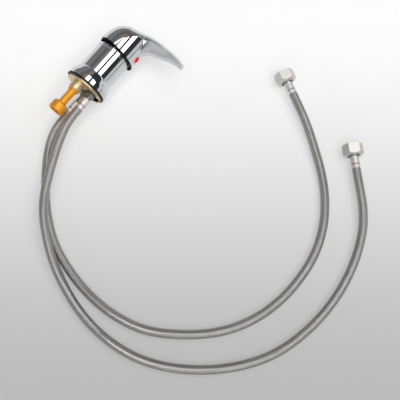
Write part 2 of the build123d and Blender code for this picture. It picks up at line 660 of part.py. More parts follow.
def outlet_tailpiece():
    top = outlet_top() - OUTLET_SEAL_H
    collar_high = -SPIGOT_H - OUTLET_BOSS_H - FIT
    x = -OUTLET_OFFSET
    pipe = disc(TAIL_R - 2 * FIT, -TAIL_END, top, x)
    pipe += disc(TAIL_COLLAR_R, collar_high - TAIL_COLLAR_H, collar_high, x)
    socket = disc(SOCKET_R, -TAIL_END, -TAIL_END + SOCKET_L, x)
    socket = chamfer(socket.edges().sort_by(Axis.Z)[-1], SOCKET_BACK_EDGE)
    pipe += chamfer(socket.edges().sort_by(Axis.Z)[0], SOCKET_MOUTH_EDGE)
    pipe -= disc(SOCKET_BORE_R, -TAIL_END - PAST, -TAIL_END + SOCKET_DEPTH, x)
    pipe -= disc(TAIL_BORE_R, -TAIL_END, top + PAST, x)
    return about_body(pipe)


def outlet_seal():
    top = outlet_top()
    low = top - OUTLET_SEAL_H + FIT
    return about_body(ring(OUTLET_BORE_R - FIT, TAIL_BORE_R, low, top - FIT, -OUTLET_OFFSET))


def stem_length(upper):
    return UPPER_STEM_L if upper else LOWER_STEM_L


def port_side(upper):
    return -1 if upper else 1


def inlet_tail(upper):
    """The threaded end that screws into the base, with its hexagon and hose stem."""
    x, y = port_place(port_side(upper))
    hex_top = -SPIGOT_H - HEX_GAP
    tail = disc(PORT_R - FIT, hex_top, -SPIGOT_H + PORT_DEPTH - INLET_SEAL_ROOM, x, y)
    tail += Pos(x, y, hex_top - HEX_L) * hexagon(HEX_SIDE, HEX_L)
    tail += disc(STEM_R, ferrule_top(upper) - FERRULE_L + STEM_GRIP, hex_top, x, y)
    tail -= disc(STEM_BORE_R, ferrule_top(upper) - FERRULE_L, -SPIGOT_H + PORT_DEPTH, x, y)
    return about_body(tail)


def ferrule_top(upper):
    """Height of the closed end of a hose's ferrule under the base."""
    return -SPIGOT_H - HEX_GAP - HEX_L - stem_length(upper) - FIT


def inlet_seal(upper):
    x, y = port_place(port_side(upper))
    low = -SPIGOT_H + PORT_DEPTH - INLET_SEAL_ROOM + FIT
    return about_body(ring(PORT_R - FIT, STEM_BORE_R, low, low + INLET_SEAL_H, x, y))


def ferrule():
    """A crimped ferrule on the z axis, its closed collar on top and its open end at zero."""
    groove = FERRULE_GROOVE_AT * FERRULE_L
    half = FERRULE_GROOVE_W / 2
    sleeve = disc(FERRULE_R, 0, FERRULE_L)
    sleeve = chamfer(sleeve.edges().sort_by(Axis.Z)[-1], FERRULE_EDGE)
    sleeve -= ring(FERRULE_R + PAST, FERRULE_R - FERRULE_GROOVE, groove - half, groove + half)
    return sleeve - disc(STEM_R + FIT, -PAST, FERRULE_L + PAST)


def mixer_ferrule(upper):
    x, y = port_place(port_side(upper))
    return about_body(Pos(x, y, ferrule_top(upper) - FERRULE_L) * ferrule())


def hose_start(upper):
    """Where the braided hose leaves its ferrule, in the finished frame."""
    x, y = port_place(port_side(upper))
    at = laid(about_body(Pos(x, y, ferrule_top(upper) - FERRULE_L))).position
    return Vector(at.X, at.Y, at.Z)


def union_place(upper):
    """A frame at the middle of the nut with z along the hose end, pointing out of the nut."""
    x, y = UPPER_NUT_AT if upper else LOWER_NUT_AT
    heading = math.radians(UPPER_NUT_HEADING if upper else LOWER_NUT_HEADING)
    out = (math.cos(heading), math.sin(heading), 0)
    return Plane(origin=(x, y, TABLE + NUT_AF / 2), x_dir=(0, 0, 1), z_dir=out).location


def union_nut(upper):
    """The hexagon nut, bevelled by turning: more at the back, where the hose comes out."""
    back, front = -NUT_L / 2, NUT_L / 2
    corner = NUT_AF / math.sqrt(3)
    (back_in, back_long), (front_in, front_long) = NUT_BACK_BEVEL, NUT_FRONT_BEVEL
    outline = [
        (0, 0, back), (corner - back_in, 0, back), (corner, 0, back + back_long),
        (corner, 0, front - front_long), (corner - front_in, 0, front), (0, 0, front),
    ]
    nut = Pos(0, 0, back) * Rot(0, 0, 30) * hexagon(NUT_AF, NUT_L)
    nut &= revolve(make_face(Polyline(*outline, close=True)), Axis.Z, 360)
    nut -= disc(NUT_BORE_R, back + NUT_WALL, front + PAST)
    nut -= disc(NUT_RELIEF_R, back + NUT_WALL, back + NUT_WALL + NUT_RELIEF_L)
    nut -= disc(NUT_HOLE_R, back - PAST, front)
    return union_place(upper) * nut


def union_seat():
    """Where the union tail's collar bears in the nut, along the nut's axis."""
    return -NUT_L / 2 + NUT_WALL + RUN


def union_back():
    """Where the union tail's neck ends and the ferrule begins, along the nut's axis."""
    return -NUT_L / 2 - UNION_NECK_OUT


def union_tail(upper):
    seat = union_seat()
    tail = disc(UNION_COLLAR_R, seat, seat + UNION_COLLAR_H)
    tail += disc(UNION_NECK_R, union_back(), seat)
    tail += disc(STEM_R, union_back() - FERRULE_L + STEM_GRIP, seat)
    tail -= disc(STEM_BORE_R, union_back() - FERRULE_L, seat + UNION_COLLAR_H + PAST)
    return union_place(upper) * tail


def union_washer(upper):
    low = union_seat() + UNION_COLLAR_H + FIT
    return union_place(upper) * ring(UNION_COLLAR_R, WASHER_BORE_R, low, low + WASHER_H)


def union_ferrule(upper):
    return union_place(upper) * Pos(0, 0, union_back() - FIT - FERRULE_L) * ferrule()


def hose_end(upper):
    """Where the braided hose meets the ferrule behind its nut."""
    at = (union_place(upper) * Pos(0, 0, union_back() - FIT - FERRULE_L)).position
    return Vector(at.X, at.Y, at.Z)


def route(upper):
    corners = UPPER_CORNERS if upper else LOWER_CORNERS
    lead = UPPER_LEAD if upper else LOWER_LEAD
    heading = math.radians(UPPER_NUT_HEADING if upper else LOWER_NUT_HEADING)
    start, end = hose_start(upper), hose_end(upper)
    first = start - Vector(lead, 0, 0)
    last = end - Vector(math.cos(heading), math.sin(heading), 0) * UNION_LEAD
    middle = [Vector(x, y, TABLE + h) for x, y, h in corners]
    return [start, first, *middle, last, end]


def corner_radii(points):
    """The largest tangent arcs that the runs beside each corner allow."""
    radii = []
    for before, corner, after in zip(points, points[1:], points[2:]):
        turn = math.radians((corner - before).get_angle(after - corner))
        shorter = min((corner - before).length, (after - corner).length)
        radii.append(0.45 * shorter / math.tan(turn / 2))
    return radii


def hose(upper):
    points = route(upper)
    radii = corner_radii(points)
    path = FilletPolyline(*points, radius=radii)
    section = Plane(origin=path @ 0, z_dir=path % 0) * Circle(HOSE_R - HOSE_GAP)
    tube = sweep(section, path=path)
    length = path.length
    volume = tube.volume / (math.pi * (HOSE_R - HOSE_GAP) ** 2 * length)
    runs = [(b - a).length for a, b in zip(points, points[1:])]
    turns = [(b - a).get_angle(c - b) for a, b, c in zip(points, points[1:], points[2:])]
    name = "upper" if upper else "lower"
    print(f"{name} hose: length {length:.1f}, volume ratio {volume:.5f}")
    print("  runs", [round(r, 1) for r in runs])
    print("  turns", [round(t, 1) for t in turns])
    print("  radii", [round(r) for r in radii])
    return tube


def hose_parts(upper):
    name = "upper" if upper else "lower"
    return {
        f"{name}_hose": hose(upper),
        f"{name}_inlet_tail": laid(inlet_tail(upper)),
        f"{name}_inlet_seal": laid(inlet_seal(upper)),
        f"{name}_mixer_ferrule": laid(mixer_ferrule(upper)),
        f"{name}_union_ferrule": union_ferrule(upper),
        f"{name}_union_tail": union_tail(upper),
        f"{name}_union_washer": union_washer(upper),
        f"{name}_union_nut": union_nut(upper),
    }


def mixer_parts():
    return {
        "body_casting": body_casting(),
        "base_seal": base_seal(),
        "cartridge_foot": cartridge_foot(),
        "cartridge_port_seals": cartridge_port_seals(),
        "cartridge_housing": cartridge_housing(),
        "fixed_disc": fixed_disc(),
        "moving_disc": moving_disc(),
        "disc_carrier": disc_carrier(),
        "spindle_guide": spindle_guide(),
        "pivot_pin": pivot_pin(),
        "spindle": spindle(),
        "retaining_nut": retaining_nut(),
        "cover_ring": cover_ring(),
        "handle": handle(),
        "handle_ring": handle_ring(),
        "grub_screw": grub_screw(),
        "index_hot": index_half(-1),
        "index_cold": index_half(1),
        "outlet_tailpiece": outlet_tailpiece(),
        "outlet_seal": outlet_seal(),
    }


def main():
    os.makedirs("parts", exist_ok=True)
    parts = {name: laid(shape) for name, shape in mixer_parts().items()}
    for upper in (True, False):
        parts.update(hose_parts(upper))
    for name, shape in parts.items():
        export_step(shape, f"parts/{name}.step")


main()
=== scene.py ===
"""Salon basin mixer lying on a pale table, with two braided hoses laid in loose curves.

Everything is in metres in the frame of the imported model: +X runs from the base face up the
mixer's axis, -Y is the way the lever points and +Z is up from the table.
"""

import math

import bmesh
import bpy
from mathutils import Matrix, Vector


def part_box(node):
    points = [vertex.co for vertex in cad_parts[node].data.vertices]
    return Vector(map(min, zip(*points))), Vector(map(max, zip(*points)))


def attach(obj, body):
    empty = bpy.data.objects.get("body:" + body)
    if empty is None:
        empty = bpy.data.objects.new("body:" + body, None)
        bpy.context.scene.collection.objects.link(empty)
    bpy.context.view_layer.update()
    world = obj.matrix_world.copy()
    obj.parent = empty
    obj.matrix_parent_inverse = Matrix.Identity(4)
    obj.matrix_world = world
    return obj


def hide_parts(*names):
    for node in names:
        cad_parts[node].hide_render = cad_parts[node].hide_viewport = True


MM = 0.001
X_AXIS = Vector((1.0, 0.0, 0.0))

# camera
CAMERA_AT = Vector((-0.2706, -0.4088, 1.0952))
CAMERA_LOOKS_AT = Vector((-0.0178, -0.2085, -0.0295))
SENSOR = 36.0
LENS = 81.0
NEAREST = 0.01
FURTHEST = 60.0

# table
TABLE_Z = -29.5 * MM
TABLE_RADIUS = 14.0
TABLE_SIDES = 96
TABLE_BRIGHT = 0.985         # colour on the far side of the mixer
TABLE_DARK = 0.50            # colour on the near side
TABLE_GLOW = 0.5             # share of the paper's brightness that comes from light behind it
FADE_MIDDLE = Vector((-0.0178, -0.2085, 0.0))
FADE_TOWARDS = Vector((0.7836, 0.6211, 0.0))   # over the table, straight up in the picture
FADE_HALF = 0.27             # from the middle of the fade to where it ends

# light: soft boxes overhead, given by their centre and half size across the mixer (y) and
# along it (x), as slopes from straight up, and by how brightly they shine
SOFT_BOXES = [
    (-0.022, 0.178, 0.10, 0.80, 3.5),
    (-0.696, 0.294, 0.10, 0.80, 3.3),
]
BOX_EDGE = 0.012             # half the width of a soft box's edge
# spans over which the room changes, as slopes across the mixer if not said otherwise
FAR_NEAR_SPAN = (0.40, 0.62)
FAR_LOW_SPAN = (0.85, 1.4)
OVERHEAD_SPAN = (-0.1, 0.1)         # from the dark part overhead to the side away from the lever
LEVER_WALL_SPAN = (-3.0, -4.2)
BASE_WALL_SPAN = (-0.9, -1.7)       # as a slope along the mixer
WALL_HEIGHTS = (0.05, 0.45)         # as the sine of the angle above the horizon
LEAST_HEIGHT = 0.001                # keeps the slopes finite at the horizon
ROOM_DARK = (0.045, 0.051, 0.058)   # overhead, between the soft boxes and the lever's side
FAR_NEAR = (0.30, 0.28, 0.25)       # just beyond the soft boxes on the side away from the lever
FAR_TOP = (0.175, 0.165, 0.15)      # further out on that side
FAR_LOW = (0.25, 0.265, 0.28)       # lower down on that side
WALL_TOP = (0.52, 0.53, 0.54)       # the pale wall beyond the lever and behind the base
WALL_LOW = (0.90, 0.91, 0.92)

# where the body's finish changes, along its axis and from it
SPIGOT_TOP = 3.05 * MM       # bare brass up to here, chrome beyond it
CHAMBER_ROOM_R = 24.2 * MM   # everything nearer the axis is inside the body
# the pocket under the base, from the face to its floor and from wall to wall
POCKET_FROM = 0.5 * MM
POCKET_TO = 12.6 * MM
POCKET_IN_R = 18.7 * MM
POCKET_OUT_R = 25.6 * MM
PORT_SHADE_R = 8.4 * MM       # painted shade on the face this far round each inlet port
PORT_SHADE_EDGE = 0.5 * MM

# hoses
LINER_RADIUS = 5.35 * MM
FERRULE_LENGTH = 16.5 * MM
UNION_NECK = 8.55 * MM       # from the middle of a nut back to its ferrule
STEPS_ALONG = 12             # between two points of a liner
BEVEL_STEPS = 6              # round a liner, in Blender's own count
LEAD = 21.0 * MM             # straight run out of a ferrule at the mixer
UNION_LEAD = 22.0 * MM       # straight run into the ferrule behind a nut
UPPER_START = Vector((-25.55, -13.0, 0.11)) * MM
LOWER_START = Vector((-34.55, -1.47, -12.92)) * MM
# the nuts' middles in millimetres, and the ways they face in degrees from +X
NUT_HEIGHT = -17.5
UPPER_NUT = (156.4, -325.5)
UPPER_HEADING = 45.6
LOWER_NUT = (183.6, -194.3)
LOWER_HEADING = 61.3
# corners of the routes (x, y, height above the table) in millimetres, as in the part's source
UPPER_CORNERS = [
    (-72.5, -20.3, 27.2), (-95.0, -29.2, 24.4), (-117.5, -39.6, 22.6), (-140.3, -51.6, 22.0),
    (-159.6, -66.2, 21.8), (-177.2, -85.4, 19.2), (-195.2, -109.2, 15.0), (-212.2, -140.2, 9.2),
    (-226.6, -180.6, 6.4), (-232.9, -223.1, 6.0), (-228.8, -268.7, 6.0), (-213.4, -309.6, 6.0),
    (-186.4, -349.4, 6.0), (-153.5, -382.2, 6.0), (-115.9, -406.2, 6.0), (-70.3, -419.5, 6.0),
    (-21.9, -423.7, 6.0), (26.1, -418.0, 6.0), (71.5, -402.6, 6.4), (100.6, -383.2, 9.4),
]
LOWER_CORNERS = [
    (-78.0, -6.4, 11.8), (-98.5, -17.2, 7.6), (-121.4, -34.0, 6.0), (-145.2, -54.7, 6.0),
    (-165.8, -78.0, 6.0), (-183.0, -104.3, 6.0), (-195.5, -138.9, 6.0), (-203.0, -175.1, 6.0),
    (-204.2, -215.7, 6.0), (-195.6, -258.6, 6.0), (-172.2, -297.4, 6.0), (-141.0, -333.0, 6.0),
    (-104.8, -356.9, 6.0), (-62.4, -370.4, 6.0), (-19.1, -373.1, 6.0), (20.9, -368.0, 6.0),
    (57.0, -353.3, 6.0), (86.8, -332.3, 6.0), (109.6, -309.2, 6.4), (129.2, -283.7, 8.2),
    (146.6, -259.7, 10.6),
]

# the underside of the lever's blade is polished less than the rest
BELLY_STARTS = -27.0 * MM    # the neck ends and the blade begins
BELLY_FULL = -33.0 * MM
BELLY_FACING = (-0.1, -0.35)  # how far the surface faces the base, as the normal's x

# painted shade in the grooves, holes and threads of the fittings
FERRULE_GROOVE_AT = 0.35 * FERRULE_LENGTH
FERRULE_GROOVE_HALF = 0.45 * MM
GROOVE_EDGE = 0.12 * MM
NUT_HOLE_R = 7.7 * MM        # painted shade over the hole in a nut's back and the bevel round it
THREAD_PITCH = 1.0 * MM
THREAD_ROOT = (0.85, 0.1)    # painted shade in the roots: none above the first height of its wave, full below the second
INLET_HEX_AT = -4.2 * MM     # middle of the inlet tails' hexagons, below the base face
INLET_HEX_HALF = 2.1 * MM
# share of painted shade on the hexagons
INLET_HEX_SHADE = 0.45

# index: a low dome of two colours in the front of the lever's round neck
NECK_RADIUS = 26.5 * MM
NECK_AXIS = -1.8 * MM        # where the neck's own axis lies, towards the lever's tip
INDEX_RISE = 1.9 * MM
INDEX_ROOT = 1.2 * MM        # how far its rim reaches into the neck
INDEX_CROWN = 2.4            # the higher, the flatter its middle
INDEX_SPLIT = -2.0 * MM      # height at which the two colours meet
INDEX_GAP = 0.04 * MM        # between the two halves
INDEX_RINGS = 10
INDEX_SPOKES = 48
INDEX_SHARP = 35.0           # edges that turn by more degrees than this stay sharp

# braid: carriers wound each way round the hose, two over and two under
CARRIERS = 12
BRAID_RADIUS = 5.72 * MM
BRAID_PITCH = 36.0 * MM      # along the hose for one turn of a carrier
BRAID_LIFT = 0.12 * MM       # how far a carrier rises over and dips under the others
BRAID_CROWN = 0.05 * MM      # the middle of a carrier stands this much above its edges
CARRIER_WIDTH = 1.9 * MM
STEPS_PER_CROSSING = 3
WEAVE_REPEAT = 4             # crossings until the weave is the same again
WIRES_PER_CARRIER = 6
OUTWARD = "outward"          # the braid mesh's own record of the way out of the hose

# finishes: the two tones that each mixes, and its least and greatest roughness
CHROME_TONE = ((0.57, 0.58, 0.595), (0.62, 0.63, 0.64))
CHROME_ROUGH = (0.02, 0.06)
BELLY_ROUGH = (0.24, 0.32)
BRASS_TONE = ((0.60, 0.47, 0.26), (0.84, 0.71, 0.47))
BRASS_ROUGH = (0.34, 0.56)
BRASS_RING_STEP = 0.35 * MM
# painted shade: near-black colour for the pocket under the base and the face round the inlet
# ports
PAINTED_SHADE_TONE = ((0.010, 0.009, 0.008), (0.045, 0.038, 0.028))
PAINTED_SHADE_ROUGH = (0.55, 0.80)
TAILPIECE_TONE = ((0.77, 0.31, 0.018), (0.86, 0.40, 0.032))
TAILPIECE_ROUGH = (0.44, 0.62)
TAILPIECE_METAL = 0.60
DRAWN_LINES = (12.0, 900.0, 900.0)   # lines per metre along the mixer's axis and across it
NICKEL_TONE = ((0.57, 0.555, 0.525), (0.68, 0.66, 0.63))
NICKEL_ROUGH = (0.40, 0.52)
PRESSED_TONE = ((0.68, 0.655, 0.63), (0.78, 0.755, 0.73))
PRESSED_ROUGH = (0.52, 0.66)
# painted shade in grooves, holes and thread roots
PAINTED_SHADE_COLOUR = (0.055, 0.05, 0.045)
STEEL_TONE = ((0.52, 0.52, 0.53), (0.64, 0.64, 0.65))
STEEL_ROUGH = (0.26, 0.42)
CERAMIC_TONE = ((0.80, 0.79, 0.76), (0.88, 0.87, 0.85))
CERAMIC_ROUGH = (0.10, 0.20)
# from the painted shade between the wires to the bare wire
WIRE_AND_GAP_SHADE_TONE = ((0.045, 0.045, 0.042), (0.59, 0.58, 0.555))
WIRE_ROUGH = (0.30, 0.44)
WIRE_TARNISH = (0.75, 1.0)
# moulded pieces: two tones, least roughness and strength of the highlight
WHITE_PLASTIC = ((0.78, 0.77, 0.74), (0.84, 0.83, 0.80), 0.35, 0.5)
BLACK_PLASTIC = ((0.003, 0.003, 0.003), (0.007, 0.007, 0.007), 0.55, 0.03)
BLACK_RUBBER = ((0.006, 0.006, 0.006), (0.016, 0.016, 0.016), 0.45, 0.3)
RED_PLASTIC = ((0.80, 0.002, 0.006), (0.92, 0.004, 0.010), 0.36, 0.2)
BLUE_PLASTIC = ((0.006, 0.05, 0.48), (0.010, 0.08, 0.60), 0.36, 0.2)
MOULDED_SPREAD = 0.10        # from the least roughness to the greatest


# Shader helpers

class Shader:
    """A new material's node tree, with short calls that add and link nodes."""

    def __init__(self, name):
        self.material = bpy.data.materials.new(name)
        self.material.use_nodes = True
        self.tree = self.material.node_tree
        self.surface = self.tree.nodes["Principled BSDF"]
        self.output = self.tree.nodes["Material Output"]

    def add(self, kind, **settings):
        node = self.tree.nodes.new(kind)
        for key, value in settings.items():
            setattr(node, key, value)
        return node

    def link(self, source, target):
        self.tree.links.new(source, target)

    def place(self):
        """Object coordinates, in metres."""
        return self.add("ShaderNodeTexCoord").outputs["Object"]

    def axes(self, vector):
        """The vector's parts, by the names X, Y and Z."""
        node = self.add("ShaderNodeSeparateXYZ")
        self.link(vector, node.inputs["Vector"])
        return node.outputs

    def noise(self, place, scale, detail=2.0, roughness=0.5):
        node = self.add("ShaderNodeTexNoise")
        self.link(place, node.inputs["Vector"])
        node.inputs["Scale"].default_value = scale
        node.inputs["Detail"].default_value = detail
        node.inputs["Roughness"].default_value = roughness
        return node.outputs["Fac"]

    def math(self, operation, first, second=None):
        node = self.add("ShaderNodeMath", operation=operation)
        for socket, value in zip(node.inputs, (first, second)):
            if value is None:
                continue
            if isinstance(value, (int, float)):
                socket.default_value = value
            else:
                self.link(value, socket)
        return node.outputs[0]

    def spread(self, value, low, high):
        """A value between 0 and 1, spread between two numbers."""
        node = self.add("ShaderNodeMapRange")
        self.link(value, node.inputs["Value"])
        node.inputs["To Min"].default_value = low
        node.inputs["To Max"].default_value = high
        return node.outputs["Result"]

    def mix(self, factor, first, second):
        """A mix of two colours, either of which may be linked or plain."""
        node = self.add("ShaderNodeMix", data_type="RGBA")
        self.link(factor, node.inputs["Factor"])
        for name, colour in (("A", first), ("B", second)):
            if isinstance(colour, tuple):
                node.inputs[name].default_value = (*colour, 1.0)
            else:
                self.link(colour, node.inputs[name])
        return node.outputs["Result"]

    def ease(self, value, start, end):
        """0 before the start and 1 past the end, smoothly between them."""
        node = self.add("ShaderNodeMapRange", interpolation_type="SMOOTHSTEP")
        self.link(value, node.inputs["Value"])
        node.inputs["From Min"].default_value = min(start, end)
        node.inputs["From Max"].default_value = max(start, end)
        node.inputs["To Min"].default_value = float(start > end)
        node.inputs["To Max"].default_value = float(start < end)
        return node.outputs["Result"]

    def soft_edge(self, value, middle, half, edge):
        """1 inside a span about the middle and 0 outside it, with a soft edge."""
        off = self.math("ABSOLUTE", self.math("SUBTRACT", value, middle))
        return self.ease(off, half + edge, half - edge)

    def bump(self, height, distance, strength):
        node = self.add("ShaderNodeBump")
        node.inputs["Distance"].default_value = distance
        node.inputs["Strength"].default_value = strength
        self.link(height, node.inputs["Height"])
        return node.outputs["Normal"]

    def from_axis(self, parts):
        """Distance from the mixer's own axis, from the parts of a place."""
        across = self.math("MULTIPLY", parts["Y"], parts["Y"])
        up = self.math("MULTIPLY", parts["Z"], parts["Z"])
        return self.math("SQRT", self.math("ADD", across, up))

    def vector_math(self, operation, first, second=None):
        """An operation on a linked vector, and on a plain one where it takes two."""
        node = self.add("ShaderNodeVectorMath", operation=operation)
        self.link(first, node.inputs[0])
        if second is not None:
            node.inputs[1].default_value = second
        return node.outputs

    def run_along(self, place, start, heading):
        """Distance from a point, measured along a direction."""
        offset = self.vector_math("SUBTRACT", place, start)["Vector"]
        return self.vector_math("DOT_PRODUCT", offset, heading)["Value"]

    def off_line(self, place, start, heading):
        """Distance from the line through a point."""
        offset = self.vector_math("SUBTRACT", place, start)["Vector"]
        cross = self.vector_math("CROSS_PRODUCT", offset, heading)["Vector"]
        return self.vector_math("LENGTH", cross)["Value"]

    def blend(self, factor, first, second):
        """The first surface where the factor is 0 and the second where it is 1."""
        node = self.add("ShaderNodeMixShader")
        self.link(factor, node.inputs["Fac"])
        self.link(first, node.inputs[1])
        self.link(second, node.inputs[2])
        return node.outputs["Shader"]

    def set(self, surface=None, **values):
        surface = surface or self.surface
        for name, value in values.items():
            socket = surface.inputs[name.replace("_", " ")]
            if isinstance(value, (int, float)):
                socket.default_value = value
            else:
                self.link(value, socket)


class SkyShader(Shader):
    """The same calls on a world's node tree."""

    def __init__(self, world):
        self.tree = world.node_tree
        self.surface = self.tree.nodes["Background"]


# Materials

def chrome_look(shader, softer=None):
    """Polished plating, nearly even, with the faint haze of a wiped surface.

    softer, where it is given, is a value that rises to 1 where the polish is duller.
    """
    place = shader.place()
    haze = shader.noise(place, scale=60.0, detail=4.0)
    ripple = shader.noise(place, scale=220.0, detail=1.0)
    rough = shader.spread(haze, *CHROME_ROUGH)
    if softer is not None:
        rest = shader.math("SUBTRACT", 1.0, softer)
        mirror = shader.math("MULTIPLY", rough, rest)
        dull = shader.math("MULTIPLY", shader.spread(haze, *BELLY_ROUGH), softer)
        rough = shader.math("ADD", mirror, dull)
    shader.set(
        Base_Color=shader.mix(haze, *CHROME_TONE),
        Metallic=1.0,
        Roughness=rough,
        Normal=shader.bump(ripple, distance=0.02 * MM, strength=0.3),
    )


def raw_brass_look(shader, surface=None):
    """Turned brass with fine rings about the mixer's axis and a dull bloom."""
    place = shader.place()
    radius = shader.from_axis(shader.axes(place))
    rings = shader.math("SINE", shader.math("MULTIPLY", radius, math.tau / BRASS_RING_STEP))
    bloom = shader.noise(place, scale=130.0, detail=5.0, roughness=0.6)
    shader.set(
        surface,
        Base_Color=shader.mix(bloom, *BRASS_TONE),
        Metallic=1.0,
        Roughness=shader.spread(bloom, *BRASS_ROUGH),
        Normal=shader.bump(rings, distance=0.012 * MM, strength=0.5),
    )


def painted_shade_look(shader, surface):
    """Painted shade: a near-black, rough surface for the hollow under the base and round the
    ports.
    """
    place = shader.place()
    shade_blotch = shader.noise(place, scale=260.0, detail=4.0)
    shader.set(
        surface,
        Base_Color=shader.mix(shade_blotch, *PAINTED_SHADE_TONE),
        Roughness=shader.spread(shade_blotch, *PAINTED_SHADE_ROUGH),
        Specular_IOR_Level=0.25,
        Normal=shader.bump(shade_blotch, distance=0.15 * MM, strength=0.6),
    )


def plated_body():
    """Chrome outside, bare brass on the base and in the chamber, and painted shade elsewhere.

    The painted shade is in the pocket under the base and on the face round the inlet ports.
    """
    shader = Shader("plated_body")
    chrome_look(shader)
    brass = shader.add("ShaderNodeBsdfPrincipled")
    raw_brass_look(shader, brass)
    painted_shade_bsdf = shader.add("ShaderNodeBsdfPrincipled")
    painted_shade_look(shader, painted_shade_bsdf)
    place = shader.place()
    parts = shader.axes(place)
    height = parts["X"]
    radius = shader.from_axis(parts)
    below = shader.math("LESS_THAN", height, SPIGOT_TOP)
    within = shader.math("LESS_THAN", radius, CHAMBER_ROOM_R)
    bare = shader.math("MAXIMUM", below, within)
    # painted shade in the pocket under the base and on the face round each inlet port
    past_rim = shader.math("GREATER_THAN", height, POCKET_FROM)
    before_end = shader.math("LESS_THAN", height, POCKET_TO)
    outside = shader.math("GREATER_THAN", radius, POCKET_IN_R)
    inside = shader.math("LESS_THAN", radius, POCKET_OUT_R)
    deep = shader.math("MULTIPLY", past_rim, before_end)
    painted_shade_mask = shader.math("MULTIPLY", deep, shader.math("MULTIPLY", outside, inside))
    on_face = shader.math("LESS_THAN", height, POCKET_FROM)
    for port in (UPPER_START, LOWER_START):
        away = shader.off_line(place, port, X_AXIS)
        round_port = shader.ease(away, PORT_SHADE_R + PORT_SHADE_EDGE, PORT_SHADE_R)
        painted_shade_mask = shader.math("MAXIMUM", painted_shade_mask, shader.math("MULTIPLY", on_face, round_port))
    metal = shader.blend(bare, shader.surface.outputs["BSDF"], brass.outputs["BSDF"])
    whole = shader.blend(painted_shade_mask, metal, painted_shade_bsdf.outputs["BSDF"])
    shader.link(whole, shader.output.inputs["Surface"])
    return shader.material


def chrome():
    shader = Shader("chrome")
    chrome_look(shader)
    return shader.material


def lever_chrome():
    """Chrome whose polish is softer on the underside of the blade, where the fingers go."""
    shader = Shader("lever_chrome")
    facing = shader.axes(shader.add("ShaderNodeTexCoord").outputs["Normal"])
    blade = shader.ease(shader.axes(shader.place())["Y"], BELLY_STARTS, BELLY_FULL)
    under = shader.ease(facing["X"], *BELLY_FACING)
    chrome_look(shader, shader.math("MULTIPLY", blade, under))
    return shader.material


def raw_brass():
    shader = Shader("raw_brass")
    raw_brass_look(shader)
    return shader.material


def orange_brass():
    """The outlet tailpiece: brass that has warmed to orange, with drawn lines along it."""
    shader = Shader("orange_brass")
    place = shader.place()
    stretch = shader.add("ShaderNodeMapping")
    shader.link(place, stretch.inputs["Vector"])
    stretch.inputs["Scale"].default_value = DRAWN_LINES
    lines = shader.noise(stretch.outputs["Vector"], scale=1.0, detail=3.0)
    stain = shader.noise(place, scale=90.0, detail=4.0)
    shader.set(
        Base_Color=shader.mix(stain, *TAILPIECE_TONE),
        Metallic=TAILPIECE_METAL,
        Roughness=shader.spread(stain, *TAILPIECE_ROUGH),
        Normal=shader.bump(lines, distance=0.02 * MM, strength=0.35),
    )
    return shader.material


def satin_nickel(name, shade=None, rough=NICKEL_ROUGH, tone=NICKEL_TONE):
    """Dull nickel plating; shade makes a value that rises to 1 where painted shade darkens it.
    """
    shader = Shader(name)
    place = shader.place()
    grain = shader.noise(place, scale=900.0, detail=3.0)
    wear = shader.noise(place, scale=70.0, detail=4.0)
    colour = shader.mix(wear, *tone)
    if shade is not None:
        # painted shade mixed into the plating's colour
        colour = shader.mix(shade(shader, place), colour, PAINTED_SHADE_COLOUR)
    shader.set(
        Base_Color=colour,
        Metallic=1.0,
        Roughness=shader.spread(wear, *rough),
        Normal=shader.bump(grain, distance=0.01 * MM, strength=0.5),
    )
    return shader.material


def groove_shade_of(open_end, heading):
    """Painted shade in the crimping groove round a ferrule, a set distance from its open end."""
    def shade(shader, place):
        along = shader.run_along(place, open_end, heading)
        return shader.soft_edge(along, FERRULE_GROOVE_AT, FERRULE_GROOVE_HALF, GROOVE_EDGE)
    return shade


def hole_shade(middle, heading):
    """Painted shade in the hole in the back of a union nut and on the bevel round it."""
    def shade(shader, place):
        away = shader.off_line(place, middle, heading)
        return shader.ease(away, NUT_HOLE_R + GROOVE_EDGE, NUT_HOLE_R)
    return shade


def inlet_thread(shader, place):
    """Painted shade in the thread roots of an inlet tail, and even painted shade on its hexagon.
    """
    along = shader.axes(place)["X"]
    turns = shader.math("SINE", shader.math("MULTIPLY", along, math.tau / THREAD_PITCH))
    roots = shader.ease(turns, *THREAD_ROOT)
    hexagon = shader.soft_edge(along, INLET_HEX_AT, INLET_HEX_HALF, GROOVE_EDGE)
    even = shader.math("MULTIPLY", hexagon, INLET_HEX_SHADE)
    return shader.math("MAXIMUM", shader.math("SUBTRACT", roots, hexagon), even)


def turned_steel():
    shader = Shader("turned_steel")
    place = shader.place()
    grain = shader.noise(place, scale=700.0, detail=4.0)
    shader.set(
        Base_Color=shader.mix(grain, *STEEL_TONE),
        Metallic=1.0,
        Roughness=shader.spread(grain, *STEEL_ROUGH),
        Normal=shader.bump(grain, distance=0.01 * MM, strength=0.5),
    )
    return shader.material


def moulded(name, dark, light, rough, shine):
    """A moulded plastic or rubber with a fine eggshell surface and faint unevenness."""
    shader = Shader(name)
    place = shader.place()
    skin = shader.noise(place, scale=1500.0, detail=2.0)
    cloud = shader.noise(place, scale=80.0, detail=3.0)
    shader.set(
        Base_Color=shader.mix(cloud, dark, light),
        Roughness=shader.spread(cloud, rough, rough + MOULDED_SPREAD),
        Normal=shader.bump(skin, distance=0.02 * MM, strength=0.4),
        Specular_IOR_Level=shine,
    )
    return shader.material


def ceramic():
    shader = Shader("ceramic")
    place = shader.place()
    speck = shader.noise(place, scale=1200.0, detail=3.0)
    shader.set(
        Base_Color=shader.mix(speck, *CERAMIC_TONE),
        Roughness=shader.spread(speck, *CERAMIC_ROUGH),
    )
    return shader.material


